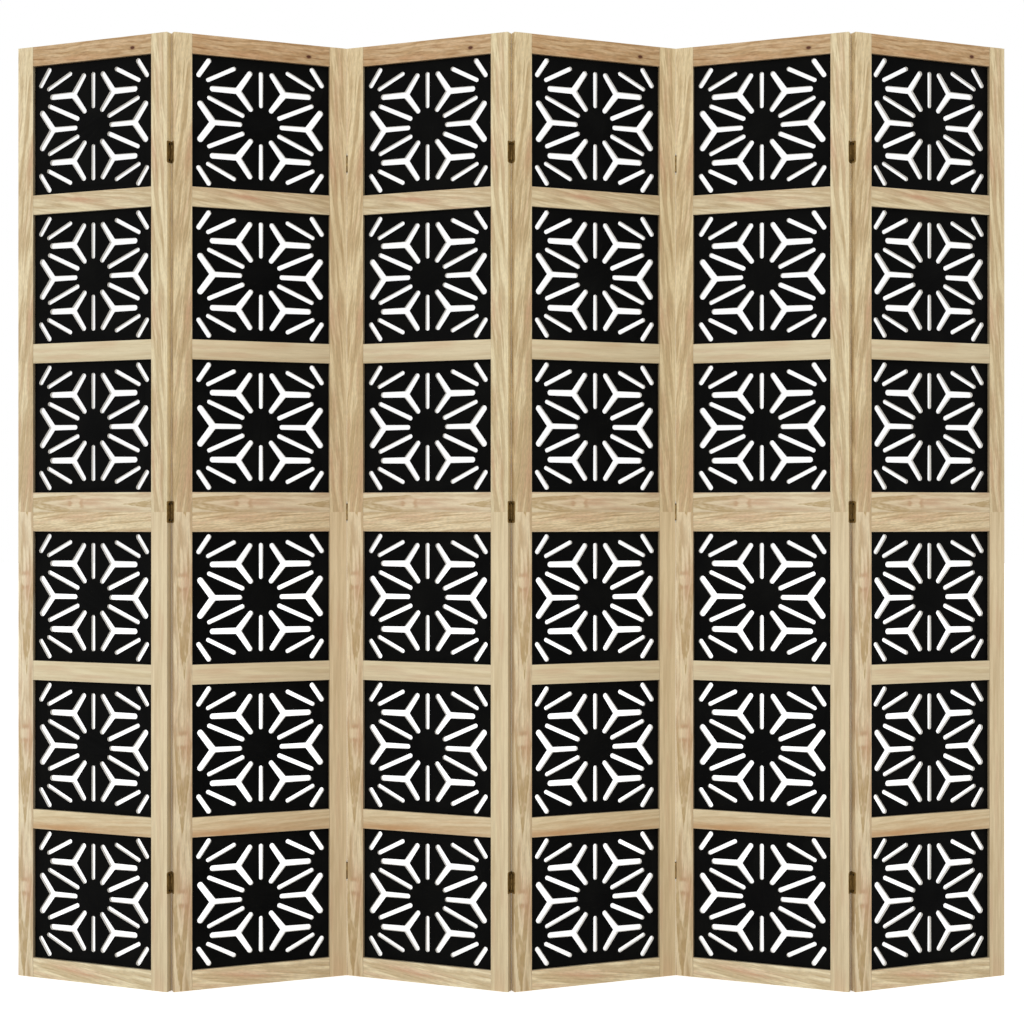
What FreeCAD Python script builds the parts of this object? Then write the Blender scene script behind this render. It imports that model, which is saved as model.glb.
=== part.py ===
import FreeCAD, Part
import math
import os

from FreeCAD import Placement, Rotation, Vector

# Carved jali screen: a folding room screen that stands in a zigzag on the floor.
# Every leaf is two grooved frames, one on the other, and each frame holds three carved panels.
# X runs along the screen, Y from its front to its back, and Z up from the floor. Millimetres.

# Leaves and how they stand
leaf_count = 6
fold_degrees = 23.0
leaf_gap = 0.1

# Frame members
opening_width = 270.0
opening_height = 250.0
stile_width = 35.0
rail_height = 37.5
frame_thickness = 16.0
panels_per_frame = 3
groove_depth = 8.0
edge_round = 0.8

# Carved panels
panel_thickness = 5.5
panel_setback = 6.6
panel_edge_clearance = 2.0

# Slot widths, first where the centre line below starts and then where it ends
upright_spoke_widths = (7.2, 8.0)
slanted_spoke_widths = (8.6, 8.0)
corner_spoke_widths = (8.0, 7.7)
corner_slot_widths = (9.4, 9.0)
side_stem_widths = (10.2, 8.9)
side_arm_widths = (12.8, 11.6)
inner_stem_widths = (11.9, 10.5)
inner_low_arm_widths = (12.7, 9.4)
inner_high_arm_widths = (12.0, 9.8)

# Slot centre lines in the upper right quarter of the pattern, as shares of the opening from its centre
upright_spoke_shares = ((0.0, 0.1525), (0.0, 0.3975))
slanted_spoke_shares = ((0.135, 0.0695), (0.373, 0.1835))
corner_spoke_shares = ((0.196, 0.4185), (0.381, 0.317))
corner_slot_shares = ((0.3765, 0.4625), (0.4475, 0.350))
side_joint_share = (0.344, 0.0)
side_stem_tip_share = (0.153, 0.0)
side_arm_tip_share = (0.436, 0.133)
inner_joint_share = (0.169, 0.2535)
inner_stem_tip_share = (0.349, 0.2535)
inner_low_tip_share = (0.075, 0.122)
inner_high_tip_share = (0.081, 0.3925)

# Dowels between the lower and the upper frame
dowel_radius = 4.0
dowel_depth = 25.0
dowel_chamfer = 1.0
dowel_clearance = 0.05
dowel_spread = 180.0

# Hinges
top_hinge_drop = 224.0
bottom_hinge_rise = 204.0
plate_height = 41.0
plate_thickness = 0.8
plate_corner_radius = 2.0
pin_radius = 0.6
pin_offset = 0.1
pin_clearance = 0.05
pin_head_height = 2.2
knuckle_length = 9.4
knuckle_gap = 0.2
barrel_clearance = 0.15

# Hinge screws
screw_inset = 5.5
screw_length = 12.0
screw_head_radius = 2.3
screw_head_height = 1.2
screw_shank_radius = 1.1
screw_tip_length = 2.5
screw_slot_width = 0.5
screw_slot_depth = 0.5
screw_slot_margin = 0.7

# One overrun serves every cut that leaves a piece
overrun = 5.0

# Sizes worked out from the ones above
leaf_width = opening_width + 2 * stile_width
rails_per_frame = panels_per_frame + 1
panel_pitch = opening_height + rail_height
frame_height = panels_per_frame * panel_pitch + rail_height
leaf_height = 2 * frame_height
panel_tongue = groove_depth - panel_edge_clearance
barrel_radius = pin_radius + plate_thickness
relief_radius = barrel_radius + barrel_clearance
pin_x = -leaf_gap / 2
hinge_heights = (bottom_hinge_rise, frame_height, leaf_height - top_hinge_drop)
frame_floors = (0.0, frame_height)
along_x = Vector(1, 0, 0)
along_y = Vector(0, 1, 0)
along_z = Vector(0, 0, 1)


def block(low, high):
    """A box between two opposite corners."""
    size = [top - bottom for bottom, top in zip(low, high)]
    return Part.makeBox(*size, Vector(*low))


def mirrored_across(shape):
    """The shape on the leaf's other side edge."""
    return shape.mirror(Vector(leaf_width / 2, 0, 0), along_x)


def mirrored_through(shape):
    """The shape with the leaf's front and back faces exchanged."""
    return shape.mirror(Vector(0, frame_thickness / 2, 0), along_y)


def raised(shapes, height):
    """Copies of the shapes, lifted."""
    copies = []
    for shape in shapes:
        copy = shape.copy()
        copy.translate(Vector(0, 0, height))
        copies.append(copy)
    return copies


# Carved panel

def slot(shares, widths):
    """One round-ended slot between two shares of the opening, through the panel's thickness.

    Its sides touch both round ends, so it tapers where the widths at the ends differ.
    """
    start, end = [Vector(x * opening_width, -overrun, z * opening_height) for x, z in shares]
    start_radius, end_radius = [width / 2 for width in widths]
    run = end - start
    ahead = run / run.Length
    across = Vector(-ahead.z, 0, ahead.x)
    lean = (start_radius - end_radius) / run.Length
    spread = math.sqrt(1 - lean ** 2)
    left = ahead * lean + across * spread
    right = ahead * lean - across * spread
    outline = [
        Part.LineSegment(start + left * start_radius, end + left * end_radius),
        Part.Arc(end + left * end_radius, end + ahead * end_radius, end + right * end_radius),
        Part.LineSegment(end + right * end_radius, start + right * start_radius),
        Part.Arc(start + right * start_radius, start - ahead * start_radius, start + left * start_radius),
    ]
    wire = Part.Wire([edge.toShape() for edge in outline])
    return Part.Face(wire).extrude((panel_thickness + 2 * overrun) * along_y)


def branched_slot(joint_share, branches):
    """Slots that run from one joint, each with its tip share and its widths, as one cutter."""
    arms = [slot((joint_share, tip_share), widths) for tip_share, widths in branches]
    return arms[0].fuse(arms[1:]).removeSplitter()


def in_all_quarters(shape, left_right=True, up_down=True):
    """The shape with its mirror images about the panel's centre lines."""
    shapes = [shape]
    if left_right:
        shapes += [one.mirror(Vector(), along_x) for one in shapes]
    if up_down:
        shapes += [one.mirror(Vector(), along_z) for one in shapes]
    return shapes


def carved_panel():
    """One carved panel, centred on its opening, with its front face at the groove's front."""
    half_width = opening_width / 2 + panel_tongue
    half_height = opening_height / 2 + panel_tongue
    board = block((-half_width, 0, -half_height), (half_width, panel_thickness, half_height))
    side_branch = branched_slot(side_joint_share, (
        (side_stem_tip_share, side_stem_widths),
        (side_arm_tip_share, side_arm_widths),
        ((side_arm_tip_share[0], -side_arm_tip_share[1]), side_arm_widths),
    ))
    inner_branch = branched_slot(inner_joint_share, (
        (inner_stem_tip_share, inner_stem_widths),
        (inner_low_tip_share, inner_low_arm_widths),
        (inner_high_tip_share, inner_high_arm_widths),
    ))
    cutters = in_all_quarters(slot(upright_spoke_shares, upright_spoke_widths), left_right=False)
    cutters += in_all_quarters(slot(slanted_spoke_shares, slanted_spoke_widths))
    cutters += in_all_quarters(slot(corner_spoke_shares, corner_spoke_widths))
    cutters += in_all_quarters(slot(corner_slot_shares, corner_slot_widths))
    cutters += in_all_quarters(side_branch, up_down=False)
    cutters += in_all_quarters(inner_branch)
    panel = board.cut(cutters).removeSplitter()
    panel.translate(Vector(leaf_width / 2, panel_setback, rail_height + opening_height / 2))
    return panel


# Hinges, drawn at a leaf's left edge with the pin on its front side and the middle at height zero

def knuckle_spans():
    """The three knuckles' lower and upper ends, from the lowest up."""
    pitch = knuckle_length + knuckle_gap
    middles = (-pitch, 0, pitch)
    return [(middle - knuckle_length / 2, middle + knuckle_length / 2) for middle in middles]


def on_pin_axis(radius, low, high):
    """A cylinder about the pin's axis."""
    return Part.makeCylinder(radius, high - low, Vector(pin_x, -pin_offset, low), along_z)


def barrel_half_length():
    """From the hinge's middle to the outer end of a pin head."""
    return knuckle_spans()[-1][1] + pin_head_height


def plate_blank():
    """The flat hinge plate with its far corners rounded."""
    half_height = plate_height / 2
    blank = block((0, -pin_offset, -half_height), (plate_thickness, frame_thickness, half_height))
    far_corners = []
    for edge in blank.Edges:
        middle = edge.CenterOfMass
        across = abs(edge.tangentAt(edge.FirstParameter).x) > math.sqrt(0.5)
        if across and middle.y > frame_thickness / 2:
            far_corners.append(edge)
    return blank.makeFillet(plate_corner_radius, far_corners)


def barrel_relief():
    """The round space that the knuckles and the pin's heads turn in."""
    reach = barrel_half_length() + barrel_clearance
    return on_pin_axis(relief_radius, -reach, reach)


def screw_solid():
    """A countersunk screw along +X with its head's face at X zero."""
    shank_end = screw_length - screw_tip_length
    profile = [
        Vector(0, 0, 0),
        Vector(0, screw_head_radius, 0),
        Vector(screw_head_height, screw_shank_radius, 0),
        Vector(shank_end, screw_shank_radius, 0),
        Vector(screw_length, 0, 0),
    ]
    outline = Part.makePolygon(profile + profile[:1])
    return Part.Face(outline).revolve(Vector(), along_x, 360)


def screw_places():
    """Where the two screws of one plate sit."""
    reach = plate_height / 2 - screw_inset
    return [Vector(0, frame_thickness / 2, height) for height in (-reach, reach)]


def screws_of_plate(with_cross_slots):
    """Both screws of one plate."""
    screw = screw_solid()
    if with_cross_slots:
        half_length = screw_head_radius - screw_slot_margin
        half_width = screw_slot_width / 2
        level = block((0, -half_length, -half_width), (screw_slot_depth, half_length, half_width))
        upright = block((0, -half_width, -half_length), (screw_slot_depth, half_width, half_length))
        screw = screw.cut([level, upright])
    copies = []
    for place in screw_places():
        copy = screw.copy()
        copy.translate(place)
        copies.append(copy)
    return copies


def hinge_plate(own_spans):
    """A hinge plate with its own knuckles, its pin bore and its countersunk holes."""
    plate = plate_blank().cut(barrel_relief())
    for low, high in own_spans:
        web = block((0, -pin_offset, low), (plate_thickness, relief_radius, high))
        plate = plate.fuse([web, on_pin_axis(barrel_radius, low, high)])
    bore = on_pin_axis(pin_radius + pin_clearance, -plate_height, plate_height)
    return plate.cut([bore] + screws_of_plate(False)).removeSplitter()


def hinge_pin():
    """A pin with a head at each end that holds it in the outer knuckles."""
    reach = barrel_half_length()
    inner = reach - pin_head_height
    shaft = on_pin_axis(pin_radius, -reach, reach)
    heads = [on_pin_axis(barrel_radius, -reach, -inner), on_pin_axis(barrel_radius, inner, reach)]
    return shaft.fuse(heads).removeSplitter()


def hinge_recess():
    """What a hinge takes out of the stile's edge."""
    return [plate_blank(), barrel_relief()] + screws_of_plate(False)


def at_edge(shapes, right_edge, pin_behind):
    """Hinge shapes moved from the left edge and front side to the edge and side asked for."""
    placed = []
    for shape in shapes:
        if right_edge:
            shape = mirrored_across(shape)
        if pin_behind:
            shape = mirrored_through(shape)
        placed.append(shape)
    return placed


def at_hinge_heights(shapes):
    """The shapes repeated at each of the leaf's hinge heights."""
    return [copy for height in hinge_heights for copy in raised(shapes, height)]


# Frame members

def dowel_places():
    """Where the dowels stand: one in each stile and two in the rails, at the frames' joint."""
    middle = leaf_width / 2
    from_middle = (-middle + stile_width / 2, -dowel_spread / 2, dowel_spread / 2, middle - stile_width / 2)
    return [Vector(middle + offset, frame_thickness / 2, frame_height) for offset in from_middle]


def dowel_holes():
    """The holes that the dowels fill, across the joint between the frames."""
    holes = []
    for place in dowel_places():
        foot = place - dowel_depth * along_z
        holes.append(Part.makeCylinder(dowel_radius + dowel_clearance, 2 * dowel_depth, foot, along_z))
    return holes


def dowels():
    """Chamfered dowels as long as their holes."""
    shapes = []
    for place in dowel_places():
        foot = place - dowel_depth * along_z
        dowel = Part.makeCylinder(dowel_radius, 2 * dowel_depth, foot, along_z)
        rims = [edge for edge in dowel.Edges if isinstance(edge.Curve, Part.Circle)]
        shapes.append(dowel.makeChamfer(dowel_chamfer, rims))
    return shapes


def left_stile(floor, round_front, round_back):
    """A left stile with its groove and its outer edges rounded as asked, before the hinges are let in."""
    stile = block((0, 0, floor), (stile_width, frame_thickness, floor + frame_height))
    outer_edges = []
    for edge in stile.Edges:
        upright = abs(edge.tangentAt(edge.FirstParameter).z) > math.sqrt(0.5)
        in_front = edge.CenterOfMass.y < frame_thickness / 2
        rounded = round_front if in_front else round_back
        if upright and rounded and edge.CenterOfMass.x < stile_width / 2:
            outer_edges.append(edge)
    stile = stile.makeFillet(edge_round, outer_edges)
    groove_low = (stile_width - groove_depth, panel_setback, floor - overrun)
    groove_high = (
        stile_width + overrun,
        panel_setback + panel_thickness,
        floor + frame_height + overrun,
    )
    return stile.cut(block(groove_low, groove_high))


def stiles(right_edge, hinged, pin_behind):
    """The lower and upper stile of one side of a leaf. The edge that meets the next leaf's stays crisp."""
    cutters = dowel_holes()
    if hinged:
        cutters += at_edge(at_hinge_heights(hinge_recess()), right_edge, pin_behind)
    shapes = []
    for floor in frame_floors:
        stile = left_stile(floor, not hinged or pin_behind, not hinged or not pin_behind)
        if right_edge:
            stile = mirrored_across(stile)
        shapes.append(stile.cut(cutters))
    return shapes


def rail(floor, groove_below, groove_above):
    """A rail with stub tenons, grooved where it meets a panel."""
    top = floor + rail_height
    groove_back = panel_setback + panel_thickness
    left = stile_width
    right = stile_width + opening_width
    shape = block((left, 0, floor), (right, frame_thickness, top))
    tenon_low = floor
    tenon_high = top
    if groove_below:
        tenon_low = floor + groove_depth
        low = (left - overrun, panel_setback, floor - overrun)
        shape = shape.cut(block(low, (right + overrun, groove_back, tenon_low)))
    if groove_above:
        tenon_high = top - groove_depth
        low = (left - overrun, panel_setback, tenon_high)
        shape = shape.cut(block(low, (right + overrun, groove_back, top + overrun)))
    tenon = block(
        (left - groove_depth, panel_setback, tenon_low),
        (right + groove_depth, groove_back, tenon_high),
    )
    return shape.fuse(tenon).removeSplitter()


def rails():
    """All the rails of a leaf, from the floor up."""
    holes = dowel_holes()
    shapes = []
    for frame_floor in frame_floors:
        for number in range(rails_per_frame):
            floor = frame_floor + number * panel_pitch
            plain = rail(floor, number > 0, number < panels_per_frame)
            shapes.append(plain.cut(holes))
    return shapes


def panels(frame_floor):
    """The carved panels of one frame."""
    panel = carved_panel()
    shapes = []
    for number in range(panels_per_frame):
        shapes += raised([panel], frame_floor + number * panel_pitch)
    return shapes


# Where the leaves stand

def is_ridge(joint):
    """True where a joint points to the front and has its pins behind; joints count from zero."""
    return joint % 2 == 0


def pin_point(leaf, joint):
    """A joint's pin axis in the flat leaf's own plan."""
    x = pin_x if joint < leaf else leaf_width - pin_x
    y = frame_thickness + pin_offset if is_ridge(joint) else -pin_offset
    return Vector(x, y, 0)


def leaf_turn(leaf):
    """The leaf's turn about the upright: even leaves come forward to their right."""
    return Rotation(along_z, fold_degrees if leaf % 2 else -fold_degrees)


def leaf_placements():
    """Each leaf hung on the pins of the one before, with the whole zigzag centred."""
    placements = [Placement(Vector(), leaf_turn(0))]
    for leaf in range(1, leaf_count):
        joint = leaf - 1
        pin = placements[joint].multVec(pin_point(joint, joint))
        foot = pin - leaf_turn(leaf).multVec(pin_point(leaf, joint))
        placements.append(Placement(foot, leaf_turn(leaf)))
    corners = []
    for placement in placements:
        for x in (0, leaf_width):
            for y in (0, frame_thickness):
                corners.append(placement.multVec(Vector(x, y, 0)))
    spread_x = [corner.x for corner in corners]
    spread_y = [corner.y for corner in corners]
    centre = Vector(min(spread_x) + max(spread_x), min(spread_y) + max(spread_y), 0) / 2
    return [Placement(placement.Base - centre, placement.Rotation) for placement in placements]


def write_node(name, shapes, placement):
    """Writes one node's solids, moved from the flat leaf to where the leaf stands."""
    placed = []
    for shape in shapes:
        for solid in shape.Solids:
            solid = solid.copy()
            solid.Placement = placement.multiply(solid.Placement)
            placed.append(solid)
    whole = placed[0] if len(placed) == 1 else Part.makeCompound(placed)
    whole.exportStep(os.path.join("parts", name + ".step"))
    volume = sum(solid.Volume for solid in placed)
    valid = all(solid.isValid() for solid in placed)
    print(f"{name}: {len(placed)} solids, {volume / 1000:.2f} cm3, valid {valid}")


def write_leaf(leaf, placement):
    """Writes the frames, panels, dowels and screws of one leaf."""
    prefix = f"leaf_{leaf + 1}_"
    joints = {"left": leaf - 1, "right": leaf}
    screws = []
    for side, joint in joints.items():
        right_edge = side == "right"
        hinged = 0 <= joint < leaf_count - 1
        pin_behind = is_ridge(joint)
        write_node(prefix + side + "_stiles", stiles(right_edge, hinged, pin_behind), placement)
        if hinged:
            screws += at_edge(at_hinge_heights(screws_of_plate(True)), right_edge, pin_behind)
    write_node(prefix + "rails", rails(), placement)
    write_node(prefix + "lower_carved_panels", panels(0.0), placement)
    write_node(prefix + "upper_carved_panels", panels(frame_height), placement)
    write_node(prefix + "dowels", dowels(), placement)
    write_node(prefix + "hinge_screws", screws, placement)


def write_joint(joint, placements):
    """Writes the hinges between one leaf and the next."""
    prefix = f"hinge_{joint + 1}_"
    pin_behind = is_ridge(joint)
    lowest, middle, highest = knuckle_spans()
    left_plates = at_edge(at_hinge_heights([hinge_plate([lowest, highest])]), True, pin_behind)
    right_plates = at_edge(at_hinge_heights([hinge_plate([middle])]), False, pin_behind)
    pins = at_edge(at_hinge_heights([hinge_pin()]), True, pin_behind)
    write_node(prefix + "left_plates", left_plates, placements[joint])
    write_node(prefix + "right_plates", right_plates, placements[joint + 1])
    write_node(prefix + "pins", pins, placements[joint])
    axis = placements[joint].multVec(pin_point(joint, joint))
    print(f"joint {joint + 1}: pin axis at x {axis.x:.4f}, y {axis.y:.4f}")


def main():
    """Builds the whole screen."""
    os.makedirs("parts", exist_ok=True)
    placements = leaf_placements()
    for leaf, placement in enumerate(placements):
        write_leaf(leaf, placement)
    for joint in range(leaf_count - 1):
        write_joint(joint, placements)


main()
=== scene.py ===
"""The looks of the carved jali screen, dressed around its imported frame.

Metres throughout. X runs along the screen, Y from its front to its back and Z up from the floor. Every leaf
is worked on laid flat in its own plan, with its left outer edge at X zero, its front face at Y zero and its
foot at Z zero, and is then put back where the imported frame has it.
"""

import logging
import math
from dataclasses import dataclass, field, fields
from enum import Enum
from typing import Callable, Iterable, Sequence

import bmesh
import bpy
from mathutils import Matrix, Vector


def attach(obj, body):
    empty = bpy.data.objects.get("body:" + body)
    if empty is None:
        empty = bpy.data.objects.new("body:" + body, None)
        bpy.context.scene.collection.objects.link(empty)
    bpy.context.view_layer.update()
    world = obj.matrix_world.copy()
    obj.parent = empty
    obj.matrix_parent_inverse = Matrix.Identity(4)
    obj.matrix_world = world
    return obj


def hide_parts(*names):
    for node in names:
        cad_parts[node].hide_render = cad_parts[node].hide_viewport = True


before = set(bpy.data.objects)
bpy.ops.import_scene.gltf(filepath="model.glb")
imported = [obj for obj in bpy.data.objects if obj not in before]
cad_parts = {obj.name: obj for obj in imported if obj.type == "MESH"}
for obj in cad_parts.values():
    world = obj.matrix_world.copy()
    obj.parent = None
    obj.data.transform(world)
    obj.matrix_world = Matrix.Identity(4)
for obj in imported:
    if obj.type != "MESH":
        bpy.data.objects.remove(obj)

log = logging.getLogger("jali_screen")
mm = 0.001
Colour = tuple[float, float, float, float]
Tone = tuple[float, float, float]
Socket = bpy.types.NodeSocket
Material = bpy.types.Material
touching = 0.01 * mm
level_facing = 0.999
wall_facing = 0.1


def paint(red: int, green: int, blue: int) -> Colour:
    """Turns a paint chip's display values into the linear colour that shaders take.

    Args:
        red: Red from 0 to 255.
        green: Green from 0 to 255.
        blue: Blue from 0 to 255.

    Returns:
        Linear red, green and blue, with an alpha of one.
    """
    linear = []
    for value in (red, green, blue):
        share = value / 255
        linear.append(share / 12.92 if share <= 0.04045 else ((share + 0.055) / 1.055) ** 2.4)
    return (linear[0], linear[1], linear[2], 1.0)


class Slot(Enum):
    """The record's material slots; the frames' dressing is handed one but does not use it."""

    STILE_WOOD = "stile_wood"
    RAIL_WOOD = "rail_wood"
    PANEL_BLACK = "panel_black"
    HINGE_BRONZE = "hinge_bronze"


class Side(Enum):
    """The two upright sides of a leaf."""

    LEFT = "left"
    RIGHT = "right"


class Tier(Enum):
    """The two frames of a leaf, one standing on the other."""

    LOWER = "lower"
    UPPER = "upper"


class Attribute(Enum):
    """What the meshes carry for their finishes."""

    GRAIN = "grain_place"
    ARRIS = "arris"
    # The tone holds each board's own tone times the painted light and shade of its leaf and of its edges.
    TONE = "board_tone"


# Shader work


class ShaderBench:
    """Places and wires nodes in one shader tree.

    A Mix node has sockets for numbers, vectors and colours. Those for its share and its two colours are
    colour_inputs, and its mixed colour is colour_output.
    """

    colour_inputs = (0, 6, 7)
    colour_output = 2

    def __init__(self, tree: bpy.types.NodeTree) -> None:
        """Takes the tree to work in."""
        self.tree = tree

    @classmethod
    def emptied(cls, owner: bpy.types.ID) -> "ShaderBench":
        """Empties the nodes of a material or a world and gives a bench for them."""
        owner.use_nodes = True
        owner.node_tree.nodes.clear()
        return cls(owner.node_tree)

    def node(self, kind: str, **settings: object) -> bpy.types.Node:
        """Adds one node.

        Args:
            kind: The node's type, without its ShaderNode prefix.
            settings: Properties to set on it.

        Returns:
            The new node.
        """
        node = self.tree.nodes.new("ShaderNode" + kind)
        for name, value in settings.items():
            setattr(node, name, value)
        return node

    def feed(self, socket: Socket, value: object) -> None:
        """Wires another socket in, or sets a plain value."""
        if isinstance(value, Socket):
            self.tree.links.new(value, socket)
        else:
            socket.default_value = value

    def place(self) -> Socket:
        """Gives the place in the piece's own space."""
        return self.node("TexCoord").outputs["Object"]

    def carried(self, attribute: Attribute, output: str) -> Socket:
        """Gives what the mesh carries, from the output that fits its kind."""
        return self.node("Attribute", attribute_name=attribute.value).outputs[output]

    def split(self, vector: object) -> Sequence[Socket]:
        """Splits a place into its three measures."""
        node = self.node("SeparateXYZ")
        self.feed(node.inputs[0], vector)
        return node.outputs

    def enlarge(self, vector: object, factor: object) -> Socket:
        """Scales a place evenly, by a socket or a number."""
        node = self.node("VectorMath", operation="SCALE")
        self.feed(node.inputs[0], vector)
        self.feed(node.inputs["Scale"], factor)
        return node.outputs[0]

    def math(self, operation: str, first: object, second: object = 0.0, clamp: bool = False) -> Socket:
        """Works out one sum of numbers.

        Args:
            operation: The Math node's operation.
            first: A socket or a number.
            second: A socket or a number.
            clamp: Whether the result is held between zero and one.

        Returns:
            The result's socket.
        """
        node = self.node("Math", operation=operation, use_clamp=clamp)
        self.feed(node.inputs[0], first)
        self.feed(node.inputs[1], second)
        return node.outputs[0]

    def mix(self, share: object, first: object, second: object, blend: str = "MIX") -> Socket:
        """Mixes two colours.

        Args:
            share: How much of the second colour there is.
            first: A socket or a colour.
            second: A socket or a colour.
            blend: The Mix node's blend type.

        Returns:
            The mixed colour's socket.
        """
        node = self.node("Mix", data_type="RGBA", blend_type=blend)
        for index, part in zip(self.colour_inputs, (share, first, second)):
            self.feed(node.inputs[index], part)
        return node.outputs[self.colour_output]

    def step(self, value: object, low: object, high: object, bottom: object = 0.0,
             top: object = 1.0) -> Socket:
        """Eases from one value to another between two limits.

        Args:
            value: What is measured against the limits.
            low: The lower limit.
            high: The upper limit.
            bottom: The result at the lower limit.
            top: The result at the upper limit.

        Returns:
            The result's socket.
        """
        node = self.node("MapRange", interpolation_type="SMOOTHSTEP")
        for socket, part in zip(node.inputs, (value, low, high, bottom, top)):
            self.feed(socket, part)
        return node.outputs[0]

    def stretch(self, vector: object, scale: Sequence[float]) -> Socket:
        """Scales a place.

        Args:
            vector: The place.
            scale: The factor for each axis.

        Returns:
            The new place's socket.
        """
        node = self.node("Mapping")
        self.feed(node.inputs["Vector"], vector)
        self.feed(node.inputs["Scale"], scale)
        return node.outputs[0]

    def noise(self, vector: object, detail: float = 2.0, roughness: float = 0.5,
              distortion: float = 0.0) -> Socket:
        """Adds smooth noise of unit scale.

        Args:
            vector: Where the noise is read.
            detail: How many finer layers it has.
            roughness: How strong the finer layers are.
            distortion: How much it is stirred.

        Returns:
            The noise's socket, mostly between 0.25 and 0.75.
        """
        node = self.node("TexNoise")
        self.feed(node.inputs["Vector"], vector)
        self.feed(node.inputs["Scale"], 1.0)
        self.feed(node.inputs["Detail"], detail)
        self.feed(node.inputs["Roughness"], roughness)
        self.feed(node.inputs["Distortion"], distortion)
        return node.outputs[0]


class EffectGroup:
    """A shader group that several finishes share."""

    def __init__(self, name: str, inputs: Sequence[tuple[str, str, object]],
                 outputs: Sequence[tuple[str, str]]) -> None:
        """Opens a group with its sockets.

        Args:
            name: The group's name.
            inputs: Name, kind and default of each input.
            outputs: Name and kind of each output.
        """
        self.tree = bpy.data.node_groups.new(name, "ShaderNodeTree")
        for label, kind, default in inputs:
            socket = self.tree.interface.new_socket(label, in_out="INPUT", socket_type="NodeSocket" + kind)
            if default is not None:
                socket.default_value = default
        for label, kind in outputs:
            self.tree.interface.new_socket(label, in_out="OUTPUT", socket_type="NodeSocket" + kind)
        self.bench = ShaderBench(self.tree)
        self.inside = self.tree.nodes.new("NodeGroupInput").outputs
        self.result = self.tree.nodes.new("NodeGroupOutput").inputs

    def give(self, label: str, value: object) -> None:
        """Sends a value out of the group."""
        self.bench.feed(self.result[label], value)


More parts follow.
